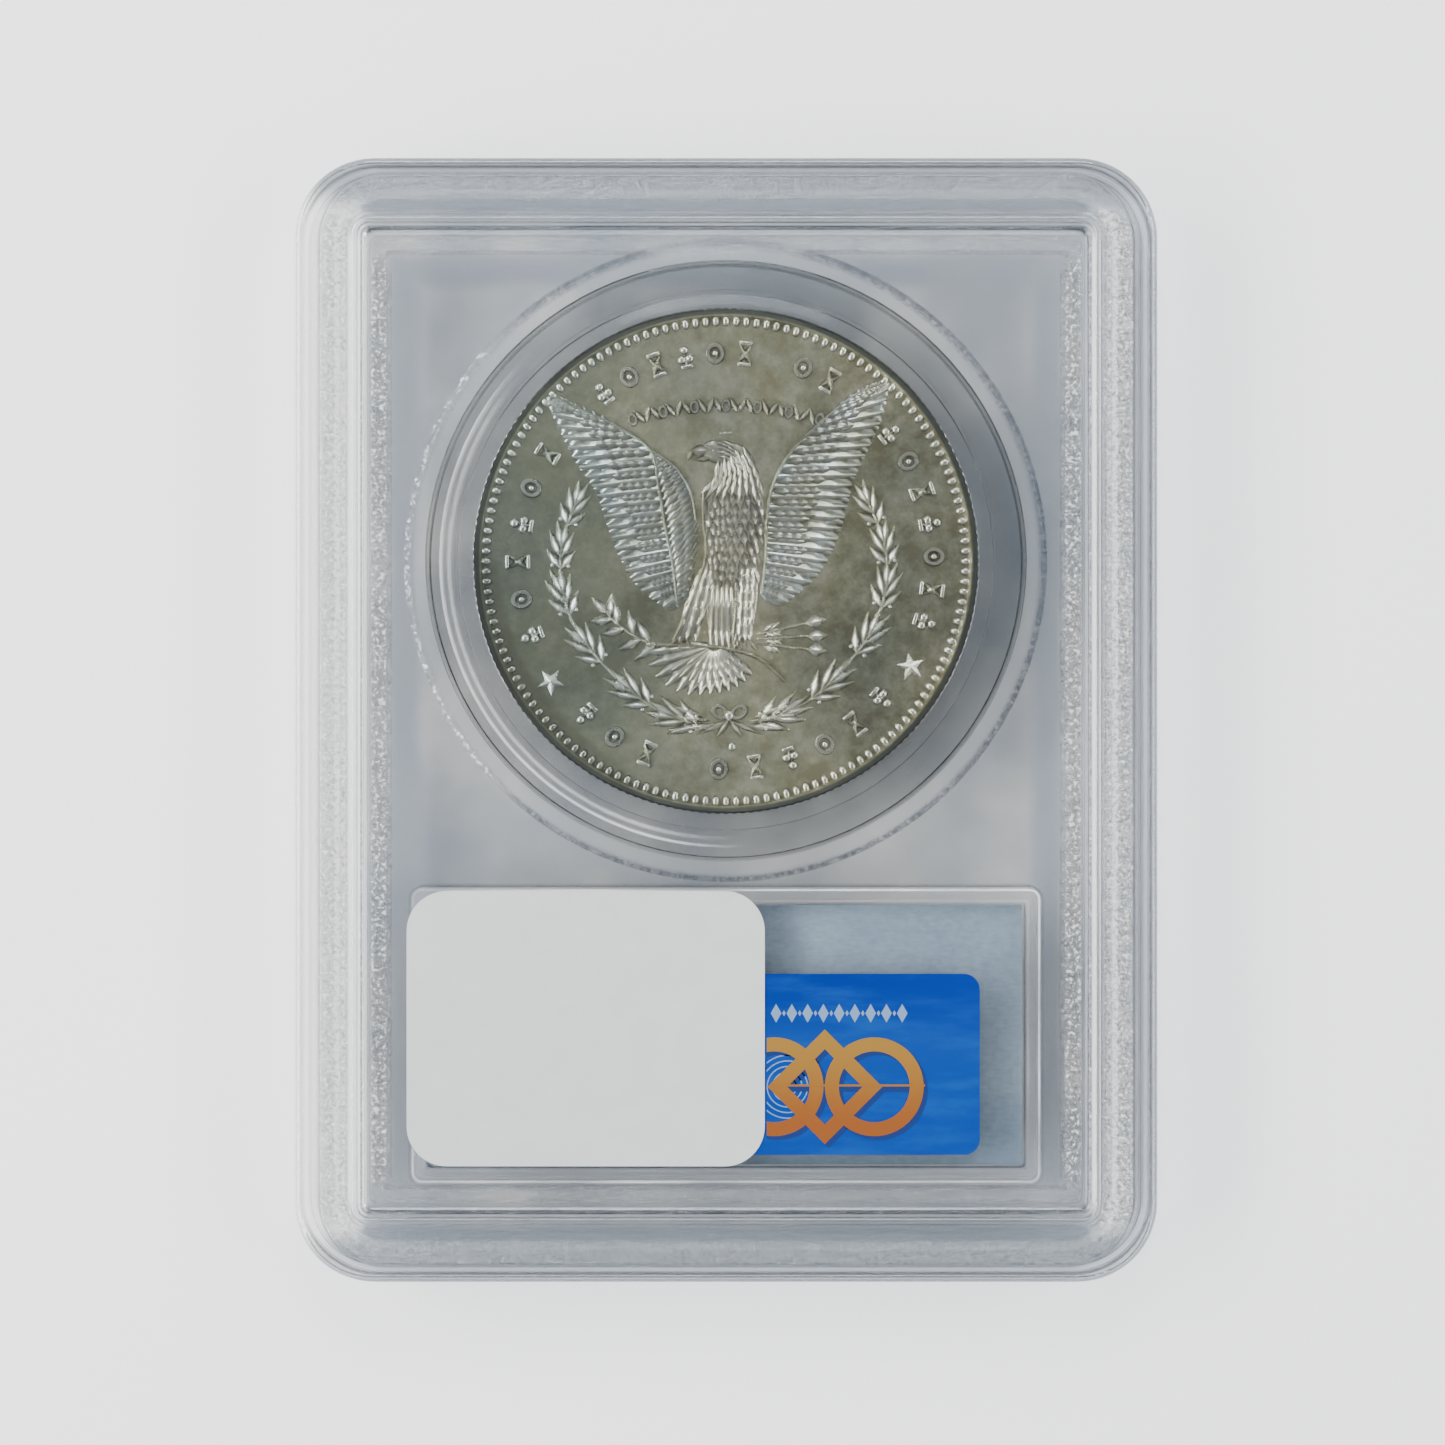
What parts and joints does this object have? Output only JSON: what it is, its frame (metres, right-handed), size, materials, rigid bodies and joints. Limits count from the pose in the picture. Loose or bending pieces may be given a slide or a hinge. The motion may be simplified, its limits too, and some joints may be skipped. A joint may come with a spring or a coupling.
{
  "type": "graded coin slab",
  "caption": "Flat clear plastic holder with a silver coin gripped in a round gasket, a label in a pocket below it and stickers on the back window.",
  "frame": {"origin": "middle of the front face's lip plane, which is the lowest face, as the slab lies with its back up", "axes": "+Z out of the back face, +Y towards the coin end, +X to the right seen from the back"},
  "size_m": [0.0644, 0.084, 0.008],
  "materials": {
    "clear_shell": "clear, polished windows with frosted edges",
    "clear_gasket": "clear, slightly cloudy",
    "coin_silver": "struck silver with a soft lustre and a faint olive tone",
    "label_paper": "matte",
    "blue_foil": "satin foil film",
    "pale_sticker": "matte"
  },
  "bodies": {
    "root": {"front_shell": "clear_shell", "back_shell": "clear_shell", "coin_gasket": "clear_gasket", "coin": "coin_silver", "label_insert": "label_paper", "hologram_sticker": "blue_foil", "certificate_sticker": "pale_sticker"}
  },
  "joints": []
}
